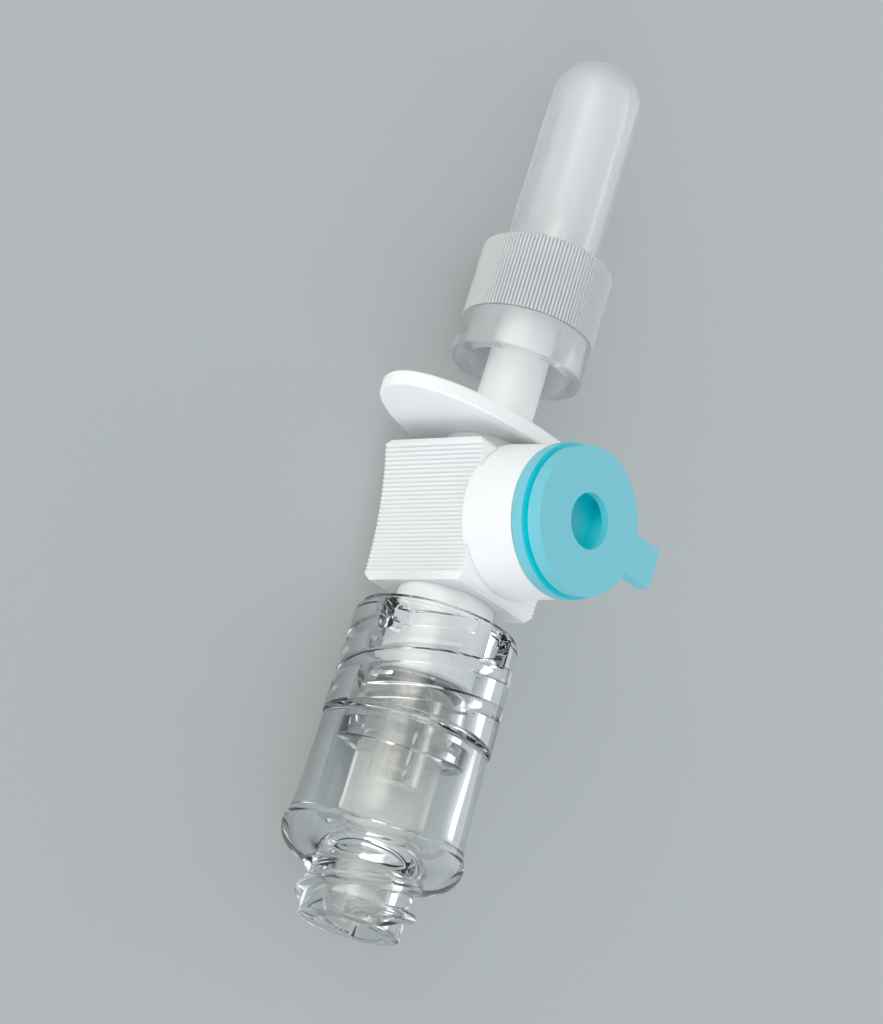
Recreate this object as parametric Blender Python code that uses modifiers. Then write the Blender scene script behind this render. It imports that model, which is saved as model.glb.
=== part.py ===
"""A dispensing spike: a capped vial spike with an air vent on its side and a valve below it.

Every piece is built on one straight axis, local Z, with the origin where the grip block meets
the lower hub: the spike points to +Z, the luer mouth to -Z and the vent to -Y. An empty then lays
the whole device on its back, vent upwards, resting on the valve's flare and the finger flange.
"""

import math

import bmesh
import bpy
from mathutils import Matrix, Vector

MM = 0.001

# Fits
FIT = 0.2 * MM               # running gap left between two moulded pieces
OVERLAP = 0.3 * MM           # how far shapes of one moulding run into each other
TURN_STEPS = 56              # facets round a turned piece
FINE_STEPS = 40              # facets round a small turned piece
SMOOTH_ANGLE = math.radians(32)

# Grip block
BLOCK_HEIGHT = 9.1 * MM
BLOCK_HALF_LOW = 3.71 * MM   # half width across the ribbed sides, at the bottom
BLOCK_HALF_TOP = 5.40 * MM
BLOCK_HALF_DEPTH = 4.18 * MM
BLOCK_SAG = 0.45 * MM        # how far the ribbed sides are hollowed
BLOCK_CHAMFER = 0.3 * MM
RIB_COUNT = 31
RIB_DEPTH = 0.16 * MM
RIB_RAMP_SHARE = 0.75        # share of a rib's pitch that its slope takes

# Upper hub, finger flange and spike
HUB_RADIUS = 3.06 * MM
HUB_HEIGHT = 1.46 * MM
FLANGE_THICKNESS = 0.99 * MM
FLANGE_HALF_LENGTH = 9.95 * MM
FLANGE_HALF_WIDTH = 5.0 * MM
FLANGE_EDGE = 0.12 * MM
FLANGE_STEPS = 64
STEM_RADIUS = 2.02 * MM
STEM_TOP_RADIUS = 1.97 * MM
STEM_LENGTH = 11.75 * MM     # from the flange to the start of the point
POINT_LENGTH = 4.8 * MM
POINT_BLUNT = 0.06 * MM
FLUID_LUMEN_RADIUS = 0.62 * MM
FLUID_LUMEN_OFFSET = 0.75 * MM
AIR_LUMEN_RADIUS = 0.42 * MM
AIR_LUMEN_OFFSET = 0.9 * MM
AIR_WAY_RADIUS = 0.6 * MM    # the cross passage from the air lumen to the vent

# Lower hub, a female luer lock
SOCKET_HUB_RADIUS = 3.2 * MM
SOCKET_HUB_LENGTH = 5.9 * MM
LUER_MOUTH_RADIUS = 2.15 * MM
LUER_TAPER = 0.03            # radius lost for each unit of depth
LUER_DEPTH = 7.1 * MM
THREAD_LEAD = 5.0 * MM       # two starts, so the ridges lie half of this apart
THREAD_STARTS = 2
THREAD_RIDGE_WIDTH = 0.9 * MM
LUG_RADIUS = 3.85 * MM
LUG_WIDTH = 0.7 * MM
LUG_SWEEP = math.radians(70)

# Vent boss
BOSS_LEVEL = 5.47 * MM       # height of the vent's axis above the block's foot
BOSS_ROOT_RADIUS = 4.98 * MM
BOSS_END_RADIUS = 4.86 * MM
BOSS_REACH = 7.84 * MM       # from the spike's axis to the boss's open end
BOSS_RECESS_RADIUS = 3.9 * MM
BOSS_RECESS_DEPTH = 2.0 * MM
PLENUM_RADIUS = 3.2 * MM
PLENUM_DEPTH = 0.5 * MM
MEMBRANE_THICKNESS = 0.3 * MM

# Vent cap
CAP_RING_RADIUS = 4.94 * MM
CAP_RING_THICKNESS = 0.76 * MM
CAP_GROOVE_RADIUS = 4.35 * MM
CAP_GROOVE_WIDTH = 0.32 * MM
CAP_DISC_RADIUS = 4.72 * MM
CAP_DISC_THICKNESS = 0.99 * MM
CAP_HOLE_RADIUS = 1.79 * MM
CAP_HOLE_DEPTH = 0.55 * MM
CAP_POCKET_DEPTH = 1.53 * MM
CAP_POCKET_HALF_HEIGHT = 2.2 * MM
CAP_SPIGOT_WALL = 0.8 * MM
CAP_VENT_RADIUS = 0.35 * MM
TAB_REACH = 7.08 * MM
TAB_LOW = 1.53 * MM          # how far the tab runs below and above the vent's axis
TAB_HIGH = 1.18 * MM

# Spike cover
COVER_RIM_LEVEL = 16.46 * MM
COVER_BAND_RADIUS = 4.38 * MM
COVER_STEP_LEVEL = 19.14 * MM
COVER_KNURL_RADIUS = 4.45 * MM
COVER_KNURL_LENGTH = 5.36 * MM
COVER_KNURL_DEPTH = 0.14 * MM
COVER_KNURL_COUNT = 90
COVER_SKIRT_BORE = 3.35 * MM
COVER_SKIRT_DEPTH = 3.1 * MM
COVER_TUBE_RADIUS = 3.15 * MM
COVER_DOME_RADIUS = 3.04 * MM
COVER_DOME_LEVEL = 36.56 * MM
COVER_WALL = 0.86 * MM

# Valve base: lock collar, male luer, plug and cannula in one moulding
COLLAR_TOP_LEVEL = -2.1 * MM
COLLAR_FOOT_LEVEL = -9.16 * MM
COLLAR_TOP_RADIUS = 5.26 * MM
COLLAR_FOOT_RADIUS = 5.49 * MM
COLLAR_BORE = 4.1 * MM
COLLAR_THREAD_MINOR = 3.55 * MM
COLLAR_FLOOR = 1.1 * MM
COLLAR_LIP = 0.12 * MM
WINDOW_COUNT = 4
WINDOW_WIDTH = 0.85 * MM
WINDOW_DEPTH = 2.3 * MM      # how far a window runs down from the collar's rim
WINDOW_FIRST = math.radians(199.5)
PLUG_DEPTH = 1.04 * MM
PLUG_CONE = 1.0 * MM
CANNULA_RADIUS = 0.75 * MM
CANNULA_BORE = 0.4 * MM
CANNULA_END = -15.2 * MM

# Valve housing, with the threaded female luer below
HOUSING_TOP_RADIUS = 5.39 * MM
HOUSING_LOW_RADIUS = 5.58 * MM
HOUSING_LOW_LEVEL = -15.3 * MM
HOUSING_WALL_BORE = 4.25 * MM
FLARE_RADIUS = 5.9 * MM
FLARE_LEVEL = -16.6 * MM
SHOULDER_LEVEL = -18.45 * MM
SHOULDER_RADIUS = 3.8 * MM
NECK_RADIUS = 3.33 * MM
NECK_END_LEVEL = -21.5 * MM
NECK_BORE = 2.05 * MM
NECK_THREAD_RADIUS = 3.915 * MM
NECK_THREAD_LEAD = 3.4 * MM
NECK_RIDGE_WIDTH = 0.75 * MM
NECK_EDGE = 0.15 * MM
HOUSING_FLOOR_LEVEL = -16.7 * MM
HOUSING_FLOOR_FALL = 0.6 * MM   # how far the funnel runs down to the neck's bore
HOUSING_FLOOR_RISE = 0.9 * MM   # and up to the housing's wall

# Valve seal
SEAL_RADIUS = 2.74 * MM
SEAL_BODY_END = -15.4 * MM
SEAL_FACE_LEVEL = -20.4 * MM
SEAL_SLIT_WIDTH = 0.15 * MM
SEAL_SLIT_DEPTH = 0.8 * MM

# Levels that follow from the sizes above
FLANGE_LOW = BLOCK_HEIGHT + HUB_HEIGHT
FLANGE_TOP = FLANGE_LOW + FLANGE_THICKNESS
POINT_START = FLANGE_TOP + STEM_LENGTH
POINT_END = POINT_START + POINT_LENGTH
LUER_END = LUER_DEPTH - SOCKET_HUB_LENGTH
KNURL_TOP = COVER_STEP_LEVEL + COVER_KNURL_LENGTH
BORE_RADIUS_COVER = STEM_RADIUS + FIT
CAP_BACK = BOSS_REACH + FIT
CAP_RING_FRONT = CAP_BACK + CAP_RING_THICKNESS
CAP_DISC_BACK = CAP_RING_FRONT + CAP_GROOVE_WIDTH
CAP_FRONT = CAP_DISC_BACK + CAP_DISC_THICKNESS
MEMBRANE_BACK = BOSS_REACH - BOSS_RECESS_DEPTH + FIT
MEMBRANE_FRONT = MEMBRANE_BACK + MEMBRANE_THICKNESS
FLOOR_TOP = -SOCKET_HUB_LENGTH - FIT
FLOOR_UNDER = FLOOR_TOP - COLLAR_FLOOR
SEAL_TOP = FLOOR_UNDER - FIT
PLUG_RADIUS = HOUSING_WALL_BORE - FIT
PLUG_END = COLLAR_FOOT_LEVEL - PLUG_DEPTH
HOUSING_TOP_LEVEL = COLLAR_FOOT_LEVEL - FIT
SEAL_NECK_RADIUS = NECK_BORE - FIT


def clear_scene():
    for obj in list(bpy.data.objects):
        bpy.data.objects.remove(obj, do_unlink=True)


def new_collection(name):
    collection = bpy.data.collections.new(name)
    bpy.context.scene.collection.children.link(collection)
    return collection


def plastic(name, colour, roughness, transmission=0.0, ior=1.5):
    made = bpy.data.materials.new(name)
    made.use_nodes = True
    shader = made.node_tree.nodes["Principled BSDF"]
    shader.inputs["Base Color"].default_value = (*colour, 1.0)
    shader.inputs["Roughness"].default_value = roughness
    shader.inputs["Metallic"].default_value = 0.0
    shader.inputs["Transmission Weight"].default_value = transmission
    shader.inputs["IOR"].default_value = ior
    made.diffuse_color = (*colour, 1.0)
    return made


class Workshop:
    """Holds the two collections and the empty that everything is parented to."""

    def __init__(self):
        self.parts = new_collection("dispensing_spike")
        self.tools = new_collection("cutters")
        self.frame = bpy.data.objects.new("rest_frame", None)
        self.parts.objects.link(self.frame)

    def place(self, name, mesh, tool=True):
        obj = bpy.data.objects.new(name, mesh)
        obj.parent = self.frame
        if tool:
            self.tools.objects.link(obj)
            obj.hide_render = True
            obj.display_type = "WIRE"
        else:
            self.parts.objects.link(obj)
        return obj


def arc(centre_r, centre_z, radius_r, radius_z, start, end, count):
    """Points along an ellipse's arc in the (r, z) plane, angles in degrees from +r."""
    points = []
    for i in range(count + 1):
        angle = math.radians(start + (end - start) * i / count)
        points.append((centre_r + radius_r * math.cos(angle), centre_z + radius_z * math.sin(angle)))
    return points


def turned(shop, name, profile, steps=TURN_STEPS, closed=True, tool=True):
    """A profile of (r, z) points, running down its outer side, turned round local Z."""
    mesh = bpy.data.meshes.new(name)
    edges = [(i, i + 1) for i in range(len(profile) - 1)]
    if closed:
        edges.append((len(profile) - 1, 0))
    mesh.from_pydata([(r, 0.0, z) for r, z in profile], edges, [])
    obj = shop.place(name, mesh, tool)
    screw = obj.modifiers.new("turn", "SCREW")
    screw.axis = "Z"
    screw.angle = 2 * math.pi
    screw.steps = steps
    screw.render_steps = steps
    screw.use_merge_vertices = True
    screw.merge_threshold = 1e-6
    return obj


def prism(shop, name, outline, low, high, axis, tool=True):
    """A flat outline extruded from low to high along an axis; its points lie in the other two axes."""
    place = {
        "X": lambda u, v, w: (w, u, v),
        "Y": lambda u, v, w: (u, w, v),
        "Z": lambda u, v, w: (u, v, w),
    }[axis]
    work = bmesh.new()
    face = work.faces.new([work.verts.new(place(u, v, low)) for u, v in outline])
    lift = Vector(place(0.0, 0.0, high - low))
    grown = bmesh.ops.extrude_face_region(work, geom=[face])["geom"]
    bmesh.ops.translate(work, verts=[g for g in grown if isinstance(g, bmesh.types.BMVert)], vec=lift)
    bmesh.ops.recalc_face_normals(work, faces=work.faces)
    mesh = bpy.data.meshes.new(name)
    work.to_mesh(mesh)
    work.free()
    return shop.place(name, mesh, tool)


def rod(shop, name, radius, start, end, steps=FINE_STEPS):
    """A round bar between two points."""
    along = Vector(end) - Vector(start)
    turn = along.to_track_quat("Z", "Y").to_matrix().to_4x4()
    work = bmesh.new()
    bmesh.ops.create_cone(
        work, cap_ends=True, segments=steps, radius1=radius, radius2=radius, depth=along.length,
        matrix=Matrix.Translation((Vector(start) + Vector(end)) / 2) @ turn,
    )
    mesh = bpy.data.meshes.new(name)
    work.to_mesh(mesh)
    work.free()
    return shop.place(name, mesh)


def helical_ridge(shop, name, root, crest, width, lead, start_angle, sweep, start_z, inward=False):
    """A thread ridge of trapezoid section that runs round local Z, from start_z towards +Z."""
    count = max(8, round(sweep / math.radians(9)))
    back = root + OVERLAP if inward else root - OVERLAP
    section = ((back, -width / 2), (back, width / 2), (crest, width * 0.22), (crest, -width * 0.22))
    work = bmesh.new()
    rings = []
    for i in range(count + 1):
        turn = start_angle + sweep * i / count
        level = start_z + lead * (turn - start_angle) / (2 * math.pi)
        rings.append([
            work.verts.new((r * math.cos(turn), r * math.sin(turn), level + z)) for r, z in section
        ])
    for first, second in zip(rings, rings[1:]):
        for k in range(len(section)):
            after = (k + 1) % len(section)
            work.faces.new((first[k], first[after], second[after], second[k]))
    work.faces.new(rings[0])
    work.faces.new(rings[-1])
    bmesh.ops.recalc_face_normals(work, faces=work.faces)
    mesh = bpy.data.meshes.new(name)
    work.to_mesh(mesh)
    work.free()
    return shop.place(name, mesh)


def combine(obj, operation, tools):
    for tool in tools:
        modifier = obj.modifiers.new(operation.lower(), "BOOLEAN")
        modifier.operation = operation
        modifier.solver = "EXACT"
        modifier.object = tool


def turn_to_vent(obj):
    """Swings a piece made on local Z so that its +Z points to the vent's side, on the vent's axis."""
    obj.matrix_local = Matrix.Translation((0.0, 0.0, BOSS_LEVEL)) @ Matrix.Rotation(math.pi / 2, 4, "X")


def block_half_width(level):
    """Half width of the grip block across its ribs, hollowed between foot and top."""
    share = level / BLOCK_HEIGHT
    straight = BLOCK_HALF_LOW + (BLOCK_HALF_TOP - BLOCK_HALF_LOW) * share
    return straight - 4 * BLOCK_SAG * share * (1 - share)


def ribbed_outline():
    """The grip block seen along Y: sawtooth ribs up both sides."""
    pitch = (BLOCK_HEIGHT - 2 * BLOCK_CHAMFER) / RIB_COUNT
    side = [(block_half_width(0.0) - BLOCK_CHAMFER, 0.0)]
    for i in range(RIB_COUNT):
        low = BLOCK_CHAMFER + i * pitch
        crest = low + RIB_RAMP_SHARE * pitch
        side.append((block_half_width(low) - RIB_DEPTH, low))
        side.append((block_half_width(crest), crest))
    top = BLOCK_HEIGHT - BLOCK_CHAMFER
    side.append((block_half_width(top) - RIB_DEPTH / 2, top))
    side.append((block_half_width(BLOCK_HEIGHT) - BLOCK_CHAMFER, BLOCK_HEIGHT))
    return side + [(-x, z) for x, z in reversed(side)]


def chamfered_outline():
    """The grip block seen along X: a rectangle with its four corners cut."""
    half, cut, top = BLOCK_HALF_DEPTH, BLOCK_CHAMFER, BLOCK_HEIGHT
    right = [(half - cut, 0.0), (half, cut), (half, top - cut), (half - cut, top)]
    return right + [(-y, z) for y, z in reversed(right)]


def oval_outline(shrink=0.0):
    """The finger flange's outline, with a flat step rather than a corner where it can rest."""
    outline = []
    for i in range(FLANGE_STEPS):
        turn = 2 * math.pi * (i + 0.5) / FLANGE_STEPS
        outline.append((
            (FLANGE_HALF_LENGTH - shrink) * math.cos(turn),
            (FLANGE_HALF_WIDTH - shrink) * math.sin(turn),
        ))
    return outline


def build_spike_body(shop):
    body = prism(shop, "spike_body", ribbed_outline(), -BLOCK_HALF_DEPTH, BLOCK_HALF_DEPTH, "Y", tool=False)
    ends = prism(
        shop, "block_ends", chamfered_outline(),
        -BLOCK_HALF_TOP - OVERLAP, BLOCK_HALF_TOP + OVERLAP, "X",
    )
    combine(body, "INTERSECT", [ends])

    flange = prism(shop, "flange", oval_outline(), FLANGE_LOW, FLANGE_TOP, "Z")
    edge = flange.modifiers.new("edge", "BEVEL")
    edge.width = FLANGE_EDGE
    edge.segments = 1
    edge.limit_method = "ANGLE"
    edge.angle_limit = math.radians(60)

    spike = turned(shop, "spike", [
        (0.0, POINT_END),
        (POINT_BLUNT, POINT_END - POINT_BLUNT),
        (STEM_TOP_RADIUS, POINT_START),
        (STEM_RADIUS, FLANGE_TOP - OVERLAP),
        (HUB_RADIUS, FLANGE_LOW + OVERLAP),
        (HUB_RADIUS, BLOCK_HEIGHT - OVERLAP),
        (0.0, BLOCK_HEIGHT - OVERLAP),
    ], closed=False)
    socket_hub = turned(shop, "socket_hub", [
        (0.0, OVERLAP),
        (SOCKET_HUB_RADIUS, OVERLAP),
        (SOCKET_HUB_RADIUS, -SOCKET_HUB_LENGTH + NECK_EDGE),
        (SOCKET_HUB_RADIUS - NECK_EDGE, -SOCKET_HUB_LENGTH),
        (0.0, -SOCKET_HUB_LENGTH),
    ], closed=False)
    lugs = [
        helical_ridge(
            shop, f"hub_lug_{start}", SOCKET_HUB_RADIUS, LUG_RADIUS, LUG_WIDTH, THREAD_LEAD,
            2 * math.pi * start / THREAD_STARTS, LUG_SWEEP, lug_start_level(),
        )
        for start in range(THREAD_STARTS)
    ]
    boss = turned(shop, "vent_boss", [
        (0.0, BOSS_REACH),
        (BOSS_END_RADIUS, BOSS_REACH),
        (BOSS_ROOT_RADIUS, BLOCK_HALF_DEPTH),
        (BOSS_ROOT_RADIUS, BLOCK_HALF_DEPTH - OVERLAP),
        (0.0, BLOCK_HALF_DEPTH - 3 * OVERLAP),
    ], closed=False)
    turn_to_vent(boss)
    combine(body, "UNION", [spike, flange, socket_hub, *lugs, boss])
    combine(body, "DIFFERENCE", body_cutters(shop))
    return body


def lug_start_level():
    """The hub's lugs ride midway between the collar's ridges, near the hub's end."""
    return ridge_start_level() + THREAD_LEAD / THREAD_STARTS / 2


def ridge_start_level():
    return FLOOR_TOP + THREAD_RIDGE_WIDTH / 2 - OVERLAP


def body_cutters(shop):
    luer = turned(shop, "luer_bore", [
        (0.0, LUER_END),
        (LUER_MOUTH_RADIUS - LUER_TAPER * LUER_DEPTH, LUER_END),
        (LUER_MOUTH_RADIUS, -SOCKET_HUB_LENGTH),
        (LUER_MOUTH_RADIUS + FIT, -SOCKET_HUB_LENGTH - FIT),
        (0.0, -SOCKET_HUB_LENGTH - FIT),
    ], FINE_STEPS, closed=False)
    fluid = rod(
        shop, "fluid_lumen", FLUID_LUMEN_RADIUS,
        (0.0, FLUID_LUMEN_OFFSET, LUER_END - OVERLAP), (0.0, FLUID_LUMEN_OFFSET, POINT_END), 20,
    )
    air = rod(
        shop, "air_lumen", AIR_LUMEN_RADIUS,
        (0.0, -AIR_LUMEN_OFFSET, BOSS_LEVEL), (0.0, -AIR_LUMEN_OFFSET, POINT_END), 16,
    )
    recess_floor = BOSS_REACH - BOSS_RECESS_DEPTH
    air_way = rod(
        shop, "air_way", AIR_WAY_RADIUS,
        (0.0, AIR_LUMEN_RADIUS - AIR_LUMEN_OFFSET, BOSS_LEVEL), (0.0, -recess_floor, BOSS_LEVEL), 16,
    )
    seat = turned(shop, "vent_seat", [
        (0.0, BOSS_REACH + FIT),
        (BOSS_RECESS_RADIUS, BOSS_REACH + FIT),
        (BOSS_RECESS_RADIUS, recess_floor),
        (PLENUM_RADIUS, recess_floor),
        (PLENUM_RADIUS, recess_floor - PLENUM_DEPTH),
        (0.0, recess_floor - PLENUM_DEPTH),
    ], closed=False)
    turn_to_vent(seat)
    return [luer, fluid, air, air_way, seat]


def build_vent_membrane(shop):
    membrane = turned(shop, "vent_membrane", [
        (0.0, MEMBRANE_FRONT),
        (BOSS_RECESS_RADIUS - FIT, MEMBRANE_FRONT),
        (BOSS_RECESS_RADIUS - FIT, MEMBRANE_BACK),
        (0.0, MEMBRANE_BACK),
    ], closed=False, tool=False)
    turn_to_vent(membrane)
    return membrane


def build_vent_cap(shop):
    spigot = BOSS_RECESS_RADIUS - FIT
    cap = turned(shop, "vent_cap", [
        (0.0, CAP_FRONT),
        (CAP_DISC_RADIUS, CAP_FRONT),
        (CAP_DISC_RADIUS, CAP_DISC_BACK),
        (CAP_GROOVE_RADIUS, CAP_DISC_BACK),
        (CAP_GROOVE_RADIUS, CAP_RING_FRONT),
        (CAP_RING_RADIUS, CAP_RING_FRONT),
        (CAP_RING_RADIUS, CAP_BACK),
        (spigot, CAP_BACK),
        (spigot, MEMBRANE_FRONT + FIT),
        (spigot - CAP_SPIGOT_WALL, MEMBRANE_FRONT + FIT),
        (spigot - CAP_SPIGOT_WALL, CAP_BACK),
        (0.0, CAP_BACK),
    ], closed=False, tool=False)
    turn_to_vent(cap)
    tab = prism(shop, "cap_tab", tab_outline(), -CAP_FRONT, -CAP_DISC_BACK, "Y")
    hole = rod(
        shop, "cap_hole", CAP_HOLE_RADIUS,
        (0.0, -CAP_FRONT - FIT, BOSS_LEVEL), (0.0, -CAP_FRONT + CAP_HOLE_DEPTH + OVERLAP, BOSS_LEVEL),
    )
    half_width, half_height = CAP_HOLE_RADIUS + FIT / 2, CAP_POCKET_HALF_HEIGHT
    pocket = prism(shop, "cap_pocket", [
        (-half_width, BOSS_LEVEL - half_height), (half_width, BOSS_LEVEL - half_height),
        (half_width, BOSS_LEVEL + half_height), (-half_width, BOSS_LEVEL + half_height),
    ], -CAP_FRONT + CAP_HOLE_DEPTH, -CAP_FRONT + CAP_POCKET_DEPTH, "Y")
    vents = [
        rod(
            shop, f"cap_vent_{i}", CAP_VENT_RADIUS,
            (-half_width * 0.6, -CAP_BACK + OVERLAP, BOSS_LEVEL + side * half_height * 0.5),
            (-half_width * 0.6, -CAP_FRONT + CAP_POCKET_DEPTH - OVERLAP, BOSS_LEVEL + side * half_height * 0.5),
            16,
        )
        for i, side in enumerate((-1, 1))
    ]
    combine(cap, "UNION", [tab])
    combine(cap, "DIFFERENCE", [hole, pocket, *vents])
    return cap


def tab_outline():
    """A straight-sided tab that leaves the disc towards +X and ends in an arc round the vent's axis."""
    low = math.asin(-TAB_LOW / TAB_REACH)
    high = math.asin(TAB_HIGH / TAB_REACH)
    inner = CAP_DISC_RADIUS - 3 * OVERLAP
    outline = [(inner, BOSS_LEVEL - TAB_LOW)]
    for i in range(9):
        turn = low + (high - low) * i / 8
        outline.append((TAB_REACH * math.cos(turn), BOSS_LEVEL + TAB_REACH * math.sin(turn)))
    outline.append((inner, BOSS_LEVEL + TAB_HIGH))
    return outline


def build_spike_cover(shop):
    skirt_top = COVER_RIM_LEVEL + COVER_SKIRT_DEPTH
    inner_dome = COVER_DOME_RADIUS - COVER_WALL
    core = COVER_KNURL_RADIUS - COVER_KNURL_DEPTH - OVERLAP / 2
    outer = arc(0.0, COVER_DOME_LEVEL, COVER_DOME_RADIUS, COVER_DOME_RADIUS, 90, 0, 9)
    inner = arc(0.0, COVER_DOME_LEVEL, inner_dome, inner_dome, 0, 90, 6)
    cover = turned(shop, "spike_cover", outer + [
        (COVER_TUBE_RADIUS, KNURL_TOP - OVERLAP / 2),
        (core, KNURL_TOP - OVERLAP / 2),
        (core, COVER_STEP_LEVEL + OVERLAP / 2),
        (COVER_BAND_RADIUS, COVER_STEP_LEVEL),
        (COVER_BAND_RADIUS, COVER_RIM_LEVEL),
        (COVER_SKIRT_BORE, COVER_RIM_LEVEL),
        (COVER_SKIRT_BORE, skirt_top),
        (BORE_RADIUS_COVER, skirt_top),
    ] + inner, closed=False, tool=False)
    combine(cover, "UNION", [knurl_sleeve(shop)])
    return cover


def knurl_sleeve(shop):
    """A ring of fine ribs round the cover's grip, open in the middle."""
    points = 2 * COVER_KNURL_COUNT
    work = bmesh.new()
    rings = []
    inset = COVER_KNURL_DEPTH
    for level, depth in (
        (COVER_STEP_LEVEL, inset), (COVER_STEP_LEVEL + inset, 0.0),
        (KNURL_TOP - inset, 0.0), (KNURL_TOP, inset),
    ):
        ring = []
        for i in range(points):
            radius = COVER_KNURL_RADIUS - (COVER_KNURL_DEPTH if i % 2 else depth)
            turn = 2 * math.pi * i / points
            ring.append(work.verts.new((radius * math.cos(turn), radius * math.sin(turn), level)))
        rings.append(ring)
    hollows = ((COVER_TUBE_RADIUS - OVERLAP, KNURL_TOP), (COVER_SKIRT_BORE + OVERLAP, COVER_STEP_LEVEL))
    for hollow, level in hollows:
        rings.append([
            work.verts.new((
                hollow * math.cos(2 * math.pi * i / points), hollow * math.sin(2 * math.pi * i / points), level,
            ))
            for i in range(points)
        ])
    rings.append(rings[0])
    for first, second in zip(rings, rings[1:]):
        for i in range(points):
            after = (i + 1) % points
            work.faces.new((first[i], first[after], second[after], second[i]))
    bmesh.ops.recalc_face_normals(work, faces=work.faces)
    mesh = bpy.data.meshes.new("knurl_sleeve")
    work.to_mesh(mesh)
    work.free()
    return shop.place("knurl_sleeve", mesh)


def build_valve_base(shop):
    male_root = LUER_MOUTH_RADIUS - FIT
    male_tip = LUER_END - 2 * FIT
    male_tip_radius = male_root - LUER_TAPER * (male_tip - FLOOR_TOP)
    socket = SEAL_RADIUS + FIT
    base = turned(shop, "valve_base", [
        (CANNULA_BORE, male_tip),
        (male_tip_radius, male_tip),
        (male_root, FLOOR_TOP),
        (COLLAR_BORE, FLOOR_TOP),
        (COLLAR_BORE, COLLAR_TOP_LEVEL),
        (COLLAR_TOP_RADIUS - COLLAR_LIP, COLLAR_TOP_LEVEL),
        (COLLAR_TOP_RADIUS, COLLAR_TOP_LEVEL - COLLAR_LIP),
        (COLLAR_FOOT_RADIUS, COLLAR_FOOT_LEVEL + COLLAR_LIP),
        (COLLAR_FOOT_RADIUS - COLLAR_LIP, COLLAR_FOOT_LEVEL),
        (PLUG_RADIUS, COLLAR_FOOT_LEVEL),
        (PLUG_RADIUS, PLUG_END),
        (socket + COLLAR_LIP, PLUG_END - PLUG_CONE),
        (socket, PLUG_END - PLUG_CONE),
        (socket, FLOOR_UNDER),
        (CANNULA_RADIUS, FLOOR_UNDER),
        (CANNULA_RADIUS, CANNULA_END + CANNULA_RADIUS),
        (CANNULA_BORE + COLLAR_LIP, CANNULA_END),
        (CANNULA_BORE, CANNULA_END),
    ], closed=True, tool=False)
    thread_height = COLLAR_TOP_LEVEL - THREAD_RIDGE_WIDTH - ridge_start_level()
    ridges = [
        helical_ridge(
            shop, f"collar_ridge_{start}", COLLAR_BORE, COLLAR_THREAD_MINOR, THREAD_RIDGE_WIDTH,
            THREAD_LEAD, 2 * math.pi * start / THREAD_STARTS,
            2 * math.pi * thread_height / THREAD_LEAD, ridge_start_level(), inward=True,
        )
        for start in range(THREAD_STARTS)
    ]
    combine(base, "UNION", ridges)
    combine(base, "DIFFERENCE", [window(shop, i) for i in range(WINDOW_COUNT)])
    return base


def window(shop, index):
    """A slot with a round foot, cut through the collar from its rim."""
    half = WINDOW_WIDTH / 2
    foot = COLLAR_TOP_LEVEL - WINDOW_DEPTH + half
    outline = [(half, COLLAR_TOP_LEVEL + OVERLAP), (-half, COLLAR_TOP_LEVEL + OVERLAP)]
    for i in range(9):
        turn = math.pi + math.pi * i / 8
        outline.append((half * math.cos(turn), foot + half * math.sin(turn)))
    cutter = prism(
        shop, f"collar_window_{index}", outline,
        COLLAR_THREAD_MINOR - OVERLAP, COLLAR_FOOT_RADIUS + OVERLAP, "X",
    )
    cutter.matrix_local = Matrix.Rotation(WINDOW_FIRST + 2 * math.pi * index / WINDOW_COUNT, 4, "Z")
    return cutter


def build_valve_housing(shop):
    shoulder = arc(
        SHOULDER_RADIUS, FLARE_LEVEL, FLARE_RADIUS - SHOULDER_RADIUS, FLARE_LEVEL - SHOULDER_LEVEL, 0, -90, 7,
    )
    swell = [
        (HOUSING_LOW_RADIUS + 0.35 * (FLARE_RADIUS - HOUSING_LOW_RADIUS), HOUSING_LOW_LEVEL - 0.5 * MM),
        (HOUSING_LOW_RADIUS + 0.85 * (FLARE_RADIUS - HOUSING_LOW_RADIUS), HOUSING_LOW_LEVEL - 0.95 * MM),
    ]
    housing = turned(shop, "valve_housing", [
        (HOUSING_TOP_RADIUS, HOUSING_TOP_LEVEL),
        (HOUSING_LOW_RADIUS, HOUSING_LOW_LEVEL),
    ] + swell + shoulder + [
        (NECK_RADIUS, SHOULDER_LEVEL),
        (NECK_RADIUS, NECK_END_LEVEL + NECK_EDGE),
        (NECK_RADIUS - NECK_EDGE, NECK_END_LEVEL),
        (NECK_BORE + NECK_EDGE, NECK_END_LEVEL),
        (NECK_BORE, NECK_END_LEVEL + NECK_EDGE),
        (NECK_BORE, HOUSING_FLOOR_LEVEL - HOUSING_FLOOR_FALL),
        (SEAL_RADIUS + FIT, HOUSING_FLOOR_LEVEL),
        (HOUSING_WALL_BORE, HOUSING_FLOOR_LEVEL + HOUSING_FLOOR_RISE),
        (HOUSING_WALL_BORE, HOUSING_TOP_LEVEL),
    ], closed=True, tool=False)
    first = NECK_END_LEVEL + NECK_RIDGE_WIDTH / 2 + NECK_EDGE
    reach = SHOULDER_LEVEL - first
    ridges = [
        helical_ridge(
            shop, f"neck_ridge_{start}", NECK_RADIUS, NECK_THREAD_RADIUS, NECK_RIDGE_WIDTH,
            NECK_THREAD_LEAD, 2 * math.pi * start / THREAD_STARTS,
            2 * math.pi * reach / NECK_THREAD_LEAD, first,
        )
        for start in range(THREAD_STARTS)
    ]
    combine(housing, "UNION", ridges)
    return housing


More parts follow.
